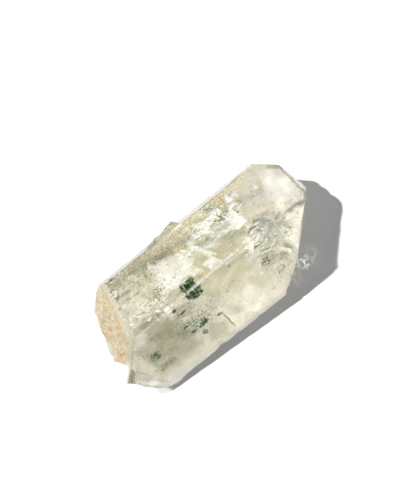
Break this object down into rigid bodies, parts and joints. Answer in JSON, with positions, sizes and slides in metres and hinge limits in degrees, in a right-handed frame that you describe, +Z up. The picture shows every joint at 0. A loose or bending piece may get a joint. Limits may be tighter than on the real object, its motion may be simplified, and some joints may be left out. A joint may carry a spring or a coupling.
{
  "type": "chlorite quartz crystal",
  "caption": "Clear quartz prism lying on its side, with one pointed end, one broken iron-stained end and green chlorite grown inside.",
  "frame": {"origin": "middle of the underside, on the surface that the crystal lies on", "axes": "+X along the crystal to its point, +Z up, +Y to the left of the point"},
  "size_m": [0.0712, 0.0354, 0.0266],
  "materials": {
    "quartz": "natural crystal faces, clear to slightly milky",
    "broken_quartz": "rough hackly break with iron stain",
    "chlorite": "dull green mineral flakes",
    "veil": "white healed fractures inside the crystal"
  },
  "bodies": {
    "root": {"quartz_crystal": "quartz"}
  },
  "joints": []
}
